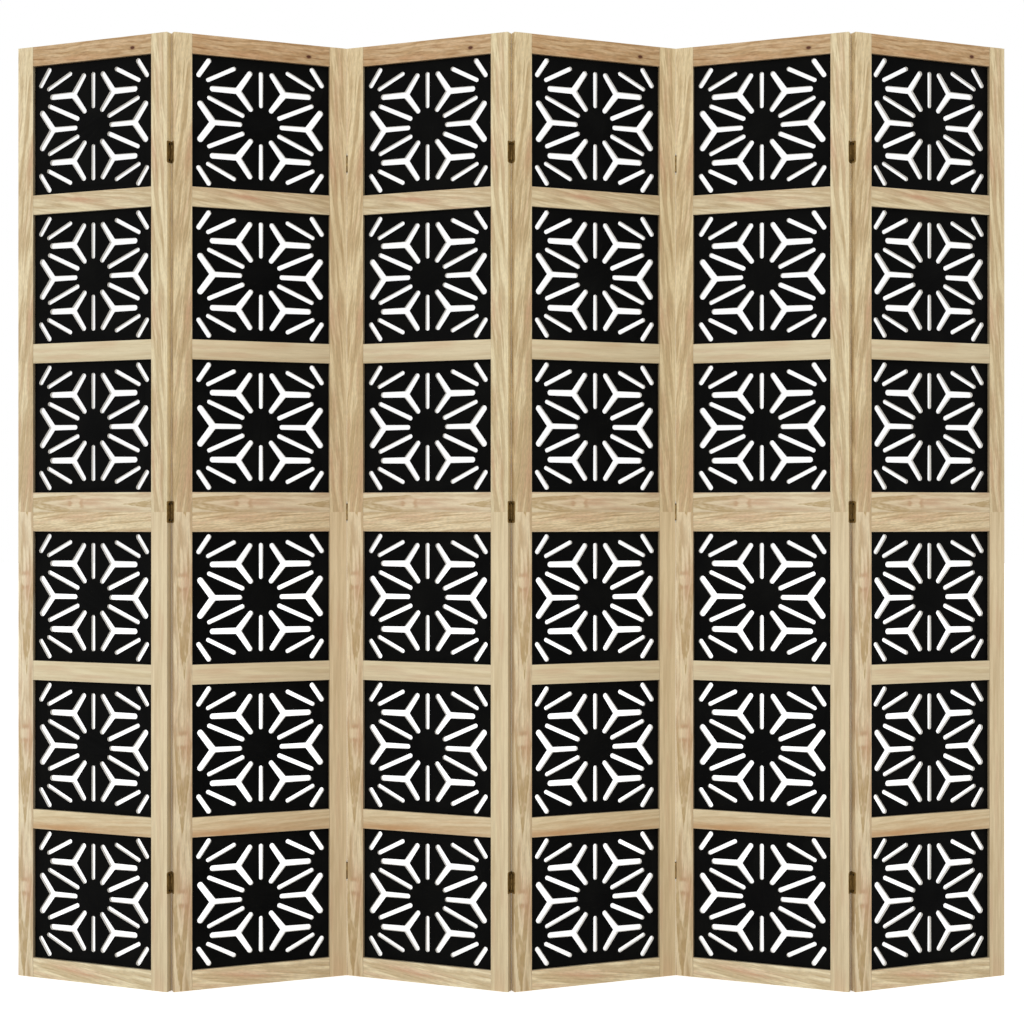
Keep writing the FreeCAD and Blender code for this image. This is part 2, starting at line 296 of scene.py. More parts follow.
class PlanedGrain(EffectGroup):
    """The grain of a planed board: streaks, rings around a heart, flames, blushes, a knot and fine fibre.

    Inside the group a board is measured in millimetres: X along it, Y across its face and Z through it.
    """

    eye_from_tip = 181.0
    lead = 80.0
    flame_bands = (
        (-90, 0.5), (-62, 0.36), (-12, 0.08), (-3, 0.3), (2, 1.0), (22, 0.86), (36, 0.98), (46, 0.72),
        (60, 1.0), (72, 0.74), (90, 0.96), (104, 0.5), (114, 0.06), (130, 0.16), (142, 0.62), (168, 0.8),
        (200, 0.66), (250, 0.5),
    )

    def __init__(self) -> None:
        """Builds the group, with an input for every figure that a board can have."""
        inputs = [("Place", "Vector", None), ("Tone", "Color", None)]
        inputs += [(label, kind, None) for _, label, kind in BoardFinish.figures()]
        outputs = (("Color", "Color"), ("Roughness", "Float"), ("Height", "Float"))
        super().__init__("planed grain", inputs, outputs)
        bench = self.bench
        self.along, self.across, self.through = bench.split(bench.enlarge(self.inside["Place"], 1 / mm))
        self.grain_line = self.follow_grain()
        self.wire()

    def sum(self, *terms: object) -> Socket:
        """Adds sockets and numbers up."""
        total = terms[0]
        for term in terms[1:]:
            total = self.bench.math("ADD", total, term)
        return total

    def product(self, *factors: object) -> Socket:
        """Multiplies sockets and numbers."""
        total = factors[0]
        for factor in factors[1:]:
            total = self.bench.math("MULTIPLY", total, factor)
        return total

    def less(self, first: object, second: object) -> Socket:
        """Takes the second away from the first."""
        return self.bench.math("SUBTRACT", first, second)

    def over(self, first: object, second: object) -> Socket:
        """Divides the first by the second."""
        return self.bench.math("DIVIDE", first, second)

    def spot(self, length: object, width: object, across: object, drift: float) -> Socket:
        """Gives a stretched place for noise, with its own drift for each seed.

        Args:
            length: How long the noise's features are.
            width: How wide they are.
            across: The measure across the board that they follow.
            drift: What sets this noise apart from the others.

        Returns:
            The place's socket.
        """
        join = self.bench.node("CombineXYZ")
        seed = self.inside["Seed"]
        places = (
            self.sum(self.over(self.along, length), self.product(seed, 0.71 + drift)),
            self.sum(self.over(across, width), self.product(seed, 1.37 - drift)),
            self.sum(self.over(self.through, width), 3.1 * drift),
        )
        for socket, place in zip(join.inputs, places):
            self.bench.feed(socket, place)
        return join.outputs[0]

    def follow_grain(self) -> Socket:
        """Measures across the board from a line that leans and wanders with the grain."""
        leaning = self.less(self.across, self.product(self.along, self.inside["Lean"]))
        wander = self.bench.noise(self.spot(140.0, 45.0, self.across, 5.3), detail=1.0)
        return self.sum(leaning, self.product(self.less(wander, 0.5), 2.0, self.inside["Meander"]))

    def phase(self, start: object) -> Socket:
        """Measures along the board from the last repeat of something.

        Args:
            start: Where one of the repeats lies.

        Returns:
            The distance's socket.
        """
        repeat = self.inside["Figure Repeat"]
        share = self.bench.math("FRACT", self.over(self.less(self.along, start), repeat))
        return self.product(share, repeat)

    def rings(self) -> Socket:
        """Draws late wood, as lines that darken slowly and end sharply, around the log's heart."""
        depth = self.sum(self.through, self.inside["Heart Depth"])
        side = self.less(self.grain_line, self.inside["Heart Across"])
        reach = self.bench.math("SQRT", self.sum(self.product(side, side), self.product(depth, depth)))
        reach = self.sum(reach, self.product(self.knot_push, self.inside["Knot Size"], 1.6))
        ring = self.bench.math("FRACT", self.over(reach, self.inside["Ring Spacing"]))
        rise = self.bench.math("POWER", ring, 2.2)
        line = self.product(rise, self.bench.step(ring, 0.84, 1.0, 1.0, 0.0))
        fade = self.bench.noise(self.spot(220.0, 22.0, self.grain_line, 1.9), detail=1.0)
        return self.product(line, self.bench.step(fade, 0.35, 0.6, 0.3, 1.0))

    def flame(self) -> tuple[Socket, Socket, Socket]:
        """Draws the nested flames of a flat-sawn board, each with a pale eye in its heart.

        Returns:
            The masks of the dark bands, of the pale bands with the eye, and of the eye's dark sides.
        """
        bench = self.bench
        from_tip = self.less(self.phase(self.less(self.inside["Flame Tip"], self.lead)), self.lead)
        side = self.less(self.grain_line, self.inside["Flame Across"])
        teeth = bench.noise(self.spot(34.0, 3.2, self.across, 7.7), detail=2.0)
        spread = self.sum(self.product(bench.math("ABSOLUTE", side), 5.0), self.product(side, side, 0.35))
        nested = self.sum(self.less(from_tip, spread), self.product(self.less(teeth, 0.5), 52.0))
        low, high = self.flame_bands[0][0], self.flame_bands[-1][0]
        ramp = bench.node("ValToRGB")
        bench.feed(ramp.inputs[0], self.over(self.less(nested, low), high - low))
        stops = ramp.color_ramp.elements
        for stop, (distance, shade) in zip(stops, (self.flame_bands[0], self.flame_bands[-1])):
            stop.position = (distance - low) / (high - low)
            stop.color = (shade, shade, shade, 1.0)
        for distance, shade in self.flame_bands[1:-1]:
            stops.new((distance - low) / (high - low)).color = (shade, shade, shade, 1.0)
        here = self.product(bench.step(from_tip, 165.0, 214.0, 1.0, 0.0), self.inside["Flame Share"])
        flecks = bench.noise(self.spot(15.0, 5.5, self.across, 9.4), detail=1.0)
        flecks = bench.step(flecks, 0.38, 0.56, 0.4, 1.0)
        dark = self.product(bench.math("MAXIMUM", self.less(ramp.outputs[0], 0.5), 0.0), 2.0, here, flecks)
        pale = self.product(bench.math("MAXIMUM", self.less(0.5, ramp.outputs[0]), 0.0), 2.0, here)
        from_eye = bench.math("ABSOLUTE", self.less(from_tip, self.eye_from_tip))
        wobble = self.product(self.less(teeth, 0.5), 9.0)
        from_eye = self.sum(from_eye, wobble)
        aside = self.sum(bench.math("ABSOLUTE", self.less(self.across, -1.0)), wobble)
        eye = self.product(bench.step(from_eye, 5.0, 12.0, 1.0, 0.0), bench.step(aside, 6.0, 14.0, 1.0, 0.0))
        bar = self.product(bench.step(from_eye, 8.0, 13.0), bench.step(from_eye, 14.0, 21.0, 1.0, 0.0))
        bar = self.product(bar, bench.step(aside, 5.0, 13.0, 1.0, 0.0))
        share = self.inside["Flame Share"]
        return dark, bench.math("MAXIMUM", pale, self.product(eye, share)), self.product(bar, share)

    def blush(self) -> Socket:
        """Draws the pinkish stain that comes back along the board."""
        half = self.product(self.inside["Figure Repeat"], 0.5)
        beyond = self.less(self.phase(self.less(self.inside["Blush Along"], half)), half)
        far = self.over(beyond, self.inside["Blush Length"])
        lean = self.product(self.inside["Lean"], beyond)
        aside = self.less(self.less(self.across, self.inside["Blush Across"]), lean)
        aside = self.over(aside, self.inside["Blush Width"])
        square = self.sum(self.product(far, far), self.product(aside, aside))
        patch = self.bench.math("EXPONENT", self.product(square, -1.0))
        ragged = self.bench.noise(self.spot(30.0, 4.0, self.grain_line, 3.3), detail=2.0)
        return self.product(patch, self.bench.step(ragged, 0.3, 0.6, 0.45, 1.0), self.inside["Blush Share"])

    def knot(self) -> tuple[Socket, Socket]:
        """Draws a knot: how far it pushes the rings aside, and its dark eye.

        Returns:
            The push and the eye.
        """
        size = self.inside["Knot Size"]
        far = self.over(self.product(self.less(self.along, self.inside["Knot Along"]), 0.62), size)
        aside = self.over(self.less(self.across, self.inside["Knot Across"]), size)
        square = self.sum(self.product(far, far), self.product(aside, aside))
        push = self.bench.math("EXPONENT", self.product(square, -0.25))
        eye = self.bench.math("EXPONENT", self.product(square, -2.5))
        return push, self.bench.math("MULTIPLY", eye, self.inside["Knot Dark"], clamp=True)

    def lay(self, tone: object, mask: object, share: object, colour: object) -> Socket:
        """Lays a colour over the tone where the mask is, as strongly as its share says."""
        return self.bench.mix(self.product(mask, share), tone, colour)

    def wire(self) -> None:
        """Lays the layers of the grain over each other and gives them out."""
        bench = self.bench
        inside = self.inside
        self.knot_push, knot_eye = self.knot()
        streak_spot = self.spot(inside["Streak Length"], inside["Streak Width"], self.grain_line, 0.0)
        streak = bench.noise(streak_spot, detail=3.0, roughness=0.45)
        streak = self.sum(streak, self.product(self.grain_line, inside["Sweep"], 0.03))
        streak = bench.step(streak, inside["Streak Low"], inside["Streak High"])
        tone = bench.mix(streak, inside["Pale"], inside["Tan"])
        tint = bench.noise(self.spot(120.0, 14.0, self.grain_line, 6.1), detail=2.0)
        tone = self.lay(tone, bench.step(tint, 0.52, 0.68), inside["Tint Share"], inside["Olive"])
        tone = self.lay(tone, bench.step(tint, 0.46, 0.32), inside["Tint Share"], inside["Blush"])
        deep = bench.noise(self.spot(70.0, 4.2, self.grain_line, 2.6), detail=2.0)
        tone = self.lay(tone, bench.step(deep, 0.5, 0.72), inside["Deep Share"], inside["Late"])
        line = self.rings()
        tone = self.lay(tone, line, inside["Late Wood"], inside["Late"])
        dark, pale, bar = self.flame()
        tone = bench.mix(dark, tone, inside["Olive"])
        tone = self.lay(tone, bar, 0.7, bench.mix(0.5, inside["Blush"], inside["Late"]))
        tone = self.lay(tone, pale, 0.8, inside["Pale"])
        tone = bench.mix(self.blush(), tone, inside["Blush"])
        sap = bench.step(self.across, inside["Sap Across"], self.sum(inside["Sap Across"], 4.0))
        tone = self.lay(tone, sap, inside["Sap Share"], inside["Pale"])
        fibre = bench.noise(self.spot(26.0, 0.7, self.grain_line, 8.2), detail=3.0, roughness=0.6)
        tone = bench.mix(1.0, tone, bench.step(fibre, 0.25, 0.75, 0.93, 1.06), "MULTIPLY")
        fleck = self.less(bench.noise(self.spot(9.0, 2.4, self.grain_line, 5.9), detail=1.0), 0.5)
        fleck = self.sum(self.product(fleck, inside["Deep Share"], 0.6), 1.0)
        tone = bench.mix(1.0, tone, fleck, "MULTIPLY")
        pore = bench.step(bench.noise(self.spot(6.0, 0.2, self.grain_line, 4.4), detail=1.0), 0.63, 0.70)
        tone = self.lay(tone, pore, 0.2, inside["Late"])
        tone = bench.mix(knot_eye, tone, inside["Knot"])
        # The Tone input is the board's tone with the painted light and shade that its mesh carries.
        tone = bench.mix(1.0, tone, inside["Tone"], "MULTIPLY")
        height = self.sum(self.product(line, 0.3), self.product(fibre, 0.5), self.product(pore, -0.6))
        self.give("Color", tone)
        self.give("Roughness", bench.step(fibre, 0.25, 0.75, 0.50, 0.64))
        self.give("Height", height)


def arris_wear_and_highlight_group() -> bpy.types.NodeTree:
    """Builds the rubbing along eased edges, which on the boards is partly a painted highlight.

    Returns:
        The group's tree.
    """
    group = EffectGroup(
        "arris wear",
        [
            ("Color", "Color", None), ("Worn", "Color", None), ("Share", "Float", None),
            ("Patch", "Float", None),
        ],
        [("Color", "Color")],
    )
    bench = group.bench
    edge = bench.carried(Attribute.ARRIS, "Fac")
    spread = bench.enlarge(bench.place(), group.inside["Patch"])
    patch = bench.step(bench.noise(spread, detail=3.0), 0.35, 0.65, 0.35, 1.0)
    # The mask lays the rubbed colour on the eased edges; on the boards it is partly a painted highlight.
    mask = bench.math("MULTIPLY", bench.math("MULTIPLY", edge, patch), group.inside["Share"])
    group.give("Color", bench.mix(mask, group.inside["Color"], group.inside["Worn"]))
    return group.tree


class Effects:
    """The shared shader groups, each built once."""

    def __init__(self) -> None:
        """Builds the groups."""
        self.planed_grain = PlanedGrain().tree
        self.arris_wear = arris_wear_and_highlight_group()


class Finish:
    """One finish: a material whose shader is wired by its own kind.

    Each kind says how strong and deep its fine relief is and how glossy it is. Kinds whose edges rub also
    say how much of their eased edges takes the rubbed colour, partly a painted highlight on the boards, and
    how many patches come to a metre.
    """

    label: str
    relief_strength = 0.5
    relief_depth = 0.12 * mm
    gloss = 0.3
    # Share and patches of the rubbed colour on eased edges, which on the boards is partly a painted
    # highlight.
    wear_share = 0.35
    wear_patch = 60.0

    def material(self, effects: Effects) -> Material:
        """Makes the finish's material.

        Args:
            effects: The shared shader groups.

        Returns:
            The finished material.
        """
        material = bpy.data.materials.new(self.label)
        bench = ShaderBench.emptied(material)
        shader = bench.node("BsdfPrincipled")
        output = bench.node("OutputMaterial")
        bench.feed(output.inputs["Surface"], shader.outputs[0])
        self.wire(effects, bench, shader)
        return material

    def wire(self, effects: Effects, bench: ShaderBench, shader: bpy.types.Node) -> None:
        """Wires the shader, each kind of finish in its own way.

        Args:
            effects: The shared shader groups.
            bench: The bench of the material's tree.
            shader: The Principled shader.
        """
        raise NotImplementedError

    def wear(self, effects: Effects, bench: ShaderBench, colour: object) -> Socket:
        """Lays a rubbed colour along the eased edges, which on the boards is partly a painted highlight.

        Args:
            effects: The shared shader groups.
            bench: The bench of the material's tree.
            colour: The colour away from the edges.

        Returns:
            The socket of the rubbed colour, partly a painted highlight on the boards.
        """
        group = bench.node("Group", node_tree=effects.arris_wear)
        bench.feed(group.inputs["Color"], colour)
        bench.feed(group.inputs["Worn"], self.worn)
        bench.feed(group.inputs["Share"], self.wear_share)
        bench.feed(group.inputs["Patch"], self.wear_patch)
        return group.outputs["Color"]

    def complete(self, bench: ShaderBench, shader: bpy.types.Node, colour: object, roughness: object,
                 height: object) -> None:
        """Gives the shader its colour, its roughness, its fine relief and its gloss.

        Args:
            bench: The bench of the material's tree.
            shader: The Principled shader.
            colour: The surface's colour.
            roughness: Its roughness.
            height: The height that its relief follows.
        """
        bump = bench.node("Bump")
        bench.feed(bump.inputs["Height"], height)
        bench.feed(bump.inputs["Strength"], self.relief_strength)
        bench.feed(bump.inputs["Distance"], self.relief_depth)
        bench.feed(shader.inputs["Base Color"], colour)
        bench.feed(shader.inputs["Roughness"], roughness)
        bench.feed(shader.inputs["Normal"], bump.outputs[0])
        bench.feed(shader.inputs["Specular IOR Level"], self.gloss)


@dataclass(frozen=True)
class BoardFinish(Finish):
    """Planed and oiled pale wood, with the figure of one board."""

    label: str
    seed: float
    lean: float = 0.0
    meander: float = 4.0
    streak_length: float = 90.0
    streak_width: float = 8.0
    streak_low: float = 0.4
    streak_high: float = 0.6
    sweep: float = 0.0
    deep_share: float = 0.4
    ring_spacing: float = 5.0
    heart_across: float = 0.0
    heart_depth: float = 30.0
    late_wood: float = 0.3
    figure_repeat: float = 297.0
    flame_tip: float = 0.0
    flame_across: float = 0.0
    flame_share: float = 0.0
    blush_along: float = 0.0
    blush_across: float = 0.0
    blush_length: float = 50.0
    blush_width: float = 9.0
    blush_share: float = 0.0
    tint_share: float = 0.3
    knot_along: float = 0.0
    knot_across: float = 0.0
    knot_size: float = 0.01
    knot_dark: float = 0.0
    sap_across: float = 40.0
    sap_share: float = 0.0
    pale: Colour = paint(228, 210, 172)
    tan: Colour = paint(206, 183, 144)
    late: Colour = paint(176, 146, 102)
    blush: Colour = paint(200, 153, 120)
    olive: Colour = paint(181, 152, 104)
    knot: Colour = paint(84, 38, 8)
    # The eased arrises' lighter colour: partly rubbing, partly a painted highlight where the edges catch the
    # light.
    worn: Colour = paint(232, 217, 186)
    tone: Tone = (1.0, 1.0, 1.0)

    @classmethod
    def figures(cls) -> list[tuple[str, str, str]]:
        """Lists what the grain group asks of a board.

        Returns:
            The field's name, the input's label and the input's kind, for each figure.
        """
        asked = [one for one in fields(cls) if one.name not in ("label", "worn", "tone")]
        return [
            (one.name, one.name.replace("_", " ").title(), "Float" if one.type is float else "Color")
            for one in asked
        ]

    def grain_place(self, bench: ShaderBench) -> Socket:
        """Gives the place in the board that each point of its surface has."""
        return bench.carried(Attribute.GRAIN, "Vector")

    def board_tone(self, bench: ShaderBench) -> object:
        """Gives the tone of the single board with its painted light and shade, which its mesh carries."""
        return bench.carried(Attribute.TONE, "Color")

    def wire(self, effects: Effects, bench: ShaderBench, shader: bpy.types.Node) -> None:
        """Wires the board's grain."""
        grain = bench.node("Group", node_tree=effects.planed_grain)
        bench.feed(grain.inputs["Place"], self.grain_place(bench))
        bench.feed(grain.inputs["Tone"], self.board_tone(bench))
        for name, label, _ in self.figures():
            bench.feed(grain.inputs[label], getattr(self, name))
        colour = self.wear(effects, bench, grain.outputs["Color"])
        self.complete(bench, shader, colour, grain.outputs["Roughness"], grain.outputs["Height"])


@dataclass(frozen=True)
class DowelFinish(BoardFinish):
    """Turned dowel wood, whose grain stands upright."""

    def grain_place(self, bench: ShaderBench) -> Socket:
        """Gives the place with the upright turned to lie along the grain."""
        turn = bench.node("Mapping")
        turn.inputs["Rotation"].default_value = (0.0, math.pi / 2, 0.0)
        bench.feed(turn.inputs["Vector"], bench.place())
        return turn.outputs[0]

    def board_tone(self, bench: ShaderBench) -> object:
        """Gives one tone for all dowels, with no painted light or shade."""
        return (*self.tone, 1.0)


@dataclass(frozen=True)
class BlackFaceFinish(Finish):
    """Flat black paint on the carved panels' faces."""

    label: str = "flat black paint"
    black: Colour = paint(7, 7, 7)
    dust: Colour = paint(15, 15, 14)
    worn: Colour = paint(46, 42, 37)
    relief_strength = 0.35
    relief_depth = 0.05 * mm
    gloss = 0.03
    wear_share = 0.5
    wear_patch = 45.0

    def wire(self, effects: Effects, bench: ShaderBench, shader: bpy.types.Node) -> None:
        """Wires the paint."""
        place = bench.place()
        cloud = bench.noise(bench.stretch(place, (14.0, 14.0, 14.0)), detail=4.0)
        stipple = bench.noise(bench.stretch(place, (1400.0, 1400.0, 1400.0)), detail=2.0)
        tone = bench.mix(bench.step(cloud, 0.35, 0.75), self.black, self.dust)
        rough = bench.step(cloud, 0.3, 0.7, 0.58, 0.74)
        self.complete(bench, shader, self.wear(effects, bench, tone), rough, stipple)


@dataclass(frozen=True)
class CutEdgeFinish(Finish):
    """The pale, sanded core that shows on the walls of the carved slots."""

    label: str = "pale cut edge"
    core: Colour = paint(227, 224, 218)
    ply: Colour = paint(204, 199, 189)
    ply_thickness: float = 1.1 * mm
    relief_depth = 0.08 * mm
    gloss = 0.2

    def wire(self, effects: Effects, bench: ShaderBench, shader: bpy.types.Node) -> None:
        """Wires the layered core."""
        place = bench.carried(Attribute.GRAIN, "Vector")
        through = bench.split(place)[2]
        layer = bench.math("SINE", bench.math("MULTIPLY", through, math.pi / self.ply_thickness))
        fuzz = bench.noise(bench.stretch(place, (900.0, 900.0, 900.0)), detail=3.0)
        ply = bench.math("MULTIPLY", bench.step(layer, 0.2, 0.9), bench.step(fuzz, 0.2, 0.8, 0.3, 0.9))
        rough = bench.step(fuzz, 0.3, 0.7, 0.7, 0.85)
        self.complete(bench, shader, bench.mix(ply, self.core, self.ply), rough, fuzz)


@dataclass(frozen=True)
class BronzeFinish(Finish):
    """Dark antique bronze on the hinges."""

    label: str
    dark: Colour = paint(118, 92, 48)
    light: Colour = paint(166, 136, 80)
    worn: Colour = paint(196, 166, 108)
    roughness_low: float = 0.38
    roughness_high: float = 0.6
    relief_strength = 0.4
    relief_depth = 0.06 * mm
    gloss = 0.25
    wear_share = 0.7
    wear_patch = 220.0

    def wire(self, effects: Effects, bench: ShaderBench, shader: bpy.types.Node) -> None:
        """Wires the bronze."""
        place = bench.place()
        patch = bench.noise(bench.stretch(place, (170.0, 170.0, 90.0)), detail=4.0, distortion=0.6)
        pits = bench.noise(bench.stretch(place, (1500.0, 1500.0, 1500.0)), detail=2.0)
        tone = bench.mix(bench.step(patch, 0.35, 0.7), self.dark, self.light)
        rough = bench.step(patch, 0.3, 0.7, self.roughness_high, self.roughness_low)
        bench.feed(shader.inputs["Metallic"], bench.step(patch, 0.2, 0.6, 0.3, 0.5))
        self.complete(bench, shader, self.wear(effects, bench, tone), rough, pits)


# The leaf and where it stands


@dataclass(frozen=True)
class LeafSizes:
    """The sizes of one leaf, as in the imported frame."""

    width: float = 340 * mm
    thickness: float = 16 * mm
    stile_width: float = 35 * mm
    frame_height: float = 900 * mm
    tenon_length: float = 8 * mm


@dataclass(frozen=True)
class LeafPaintedShading:
    """Painted light and shade on the boards of one leaf, as multipliers on their pattern boards."""

    left: Tone = (1.0, 1.0, 1.0)
    rails: Tone = (1.0, 1.0, 1.0)
    right: Tone = (1.0, 1.0, 1.0)


# Painted light and shade for each leaf: stiles beside a valley are darkened with painted shade, warmer on
# the even leaves as bounce light from the next leaf; stiles beside a ridge are lightened with painted light;
# rails are painted warmer on the even leaves and cooler on the odd ones.
LEAF_PAINTED_SHADING = (
    LeafPaintedShading(left=(0.99, 1.02, 1.07), rails=(0.985, 1.01, 1.03), right=(1.01, 1.04, 1.08)),
    LeafPaintedShading(left=(1.05, 1.04, 1.035), rails=(1.015, 0.99, 0.97), right=(0.985, 0.945, 0.91)),
    LeafPaintedShading(left=(0.945, 0.935, 0.92), rails=(0.995, 1.005, 1.025), right=(1.02, 1.05, 1.075)),
    LeafPaintedShading(left=(1.045, 1.04, 1.025), rails=(1.01, 0.995, 0.97), right=(0.975, 0.945, 0.895)),
    LeafPaintedShading(left=(0.95, 0.945, 0.93), rails=(0.99, 1.005, 1.025), right=(1.015, 1.04, 1.075)),
    LeafPaintedShading(left=(1.035, 1.03, 1.025), rails=(1.005, 0.995, 0.98), right=(0.995, 0.99, 0.985)),
)


@dataclass(frozen=True)
class Leaf:
    """One leaf: its number from the left, the painted light and shade on its boards, and how it stands."""

    number: int
    tones: LeafPaintedShading = LeafPaintedShading()
    sizes: LeafSizes = LeafSizes()
    fold: float = math.radians(23)

    @property
    def body(self) -> str:
        """The leaf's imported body."""
        return f"leaf_{self.number}"

    @property
    def pin_sides(self) -> dict[Side, float]:
        """The face, front or back, that lies beside the pins at each side where a neighbour hangs."""
        behind, before = self.sizes.thickness, 0.0
        odd = self.number % 2 == 1
        sides = {Side.LEFT: before if odd else behind, Side.RIGHT: behind if odd else before}
        if self.number == 1:
            del sides[Side.LEFT]
        if self.number == len(LEAF_PAINTED_SHADING):
            del sides[Side.RIGHT]
        return sides

    @property
    def turn(self) -> Matrix:
        """The leaf's turn about the upright, which goes the other way at every second leaf."""
        return Matrix.Rotation(self.fold if self.number % 2 == 0 else -self.fold, 4, "Z")

    def place(self) -> Matrix:
        """Finds where the flat leaf's plan lies in the standing screen.

        Returns:
            The matrix from the leaf's own plan to the standing screen.
        """
        back = self.turn.inverted()
        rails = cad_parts[f"{self.body}_rails"].data
        flat = [back @ vertex.co for vertex in rails.vertices]
        foot = Vector((
            min(point.x for point in flat) - self.sizes.stile_width + self.sizes.tenon_length,
            min(point.y for point in flat),
            min(point.z for point in flat),
        ))
        return self.turn @ Matrix.Translation(foot)


def lies_at(edge: bmesh.types.BMEdge, through: float, within: float) -> bool:
    """Says whether both ends of an edge lie within a distance of one level through the leaf's thickness."""
    return all(abs(vertex.co.y - through) < within for vertex in edge.verts)


class Workpiece:
    """A mesh on the bench, laid flat in its leaf's own plan."""

    seam_lift = 5 * mm
    weld = 0.002 * mm
    flat_angle = math.radians(0.5)
    sharp_angle = math.radians(50)
    shading_angle = math.radians(38)

    def __init__(self, place: Matrix) -> None:
        """Opens an empty mesh.

        Args:
            place: The matrix from the leaf's own plan to the standing screen.
        """
        self.place = place
        self.mesh = bmesh.new()
        self.grain = self.mesh.verts.layers.float_vector.new(Attribute.GRAIN.value)
        self.arris = self.mesh.faces.layers.float.new(Attribute.ARRIS.value)
        # The tone layer holds each face's board tone times its painted light and shade.
        self.tone = self.mesh.faces.layers.float_color.new(Attribute.TONE.value)

    def take_node(self, node: str, seam: float | None = None) -> None:
        """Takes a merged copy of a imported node's solids.

        Args:
            node: The node's name.
            seam: The height of a joint whose two sides stay apart, or None.
        """
        self.mesh.from_mesh(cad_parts[node].data)
        for face in self.mesh.faces:
            face.material_index = 0
        self.mesh.transform(self.place.inverted())
        if seam is not None:
            self.lift_above(seam)
        bmesh.ops.remove_doubles(self.mesh, verts=self.mesh.verts, dist=self.weld)
        bmesh.ops.dissolve_limit(
            self.mesh, angle_limit=self.flat_angle, use_dissolve_boundaries=False,
            verts=self.mesh.verts, edges=self.mesh.edges, delimit=set(),
        )

    def lift_above(self, seam: float) -> None:
        """Lifts the solids that stand on a seam, so that nothing joins across it.

        Args:
            seam: The seam's height.
        """
        upper = set()
        for face in self.mesh.faces:
            level = face.calc_center_median().z - seam
            if level > touching or (level > -touching and face.normal.z < 0):
                upper.update(face.verts)
        bmesh.ops.translate(self.mesh, verts=list(upper), vec=(0.0, 0.0, self.seam_lift))

    def lower_onto(self, seam: float) -> None:
        """Puts the lifted solids back on the seam.

        Args:
            seam: The seam's height.
        """
        upper = [vertex for vertex in self.mesh.verts if vertex.co.z > seam + self.seam_lift / 2]
        bmesh.ops.translate(self.mesh, verts=upper, vec=(0.0, 0.0, -self.seam_lift))

    def solids(self) -> list[list[bmesh.types.BMVert]]:
        """Sorts the vertices by the solid they belong to.

        Returns:
            One list of vertices for each solid.
        """
        found = []
        seen = set()
        for start in self.mesh.verts:
            if start in seen:
                continue
            seen.add(start)
            solid = [start]
            for vertex in solid:
                for edge in vertex.link_edges:
                    other = edge.other_vert(vertex)
                    if other not in seen:
                        seen.add(other)
                        solid.append(other)
            found.append(solid)
        return found

    def ease(self, wanted: Callable[[bmesh.types.BMEdge], bool], width: float) -> None:
        """Eases sharp outward edges and marks the new faces as arrises.

        Args:
            wanted: Says which of the sharp edges are eased.
            width: How far each side of an edge is taken back.
        """
        edges = [
            edge for edge in self.mesh.edges
            if len(edge.link_faces) == 2 and edge.calc_face_angle_signed(0.0) > self.sharp_angle
            and wanted(edge)
        ]
        made = bmesh.ops.bevel(
            self.mesh, geom=edges, offset=width, offset_type="OFFSET", affect="EDGES", segments=2,
            profile=0.5, material=-1, clamp_overlap=True,
        )
        for face in made["faces"]:
            face[self.arris] = 1.0

    def round_shading(self) -> None:
        """Shades smooth every face that lies in none of the flat leaf's three main planes."""
        for face in self.mesh.faces:
            face.smooth = max(abs(value) for value in face.normal) < level_facing

    def publish(self, name: str, body: str, replaced: Iterable[str],
                materials: Sequence[Material]) -> None:
        """Args:
            name: The piece's name.
            body: The body it rides on.
            replaced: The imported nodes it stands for.
            materials: Its materials, in the order of its faces' indices.
        """
        self.mesh.transform(self.place)
        mesh = bpy.data.meshes.new(name)
        self.mesh.to_mesh(mesh)
        self.mesh.free()
        for attribute in [one for one in mesh.attributes if one.name in ("custom_normal", "UVMap")]:
            mesh.attributes.remove(attribute)
        for material in materials:
            mesh.materials.append(material)
        mesh.set_sharp_from_angle(angle=self.shading_angle)
        piece = bpy.data.objects.new(name, mesh)
        bpy.context.scene.collection.objects.link(piece)
        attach(piece, body)
        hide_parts(*replaced)
        triangles = sum(len(polygon.vertices) - 2 for polygon in mesh.polygons)
        log.info("%s: %d faces, %d triangles, on %s", name, len(mesh.polygons), triangles, body)


# The wooden frames


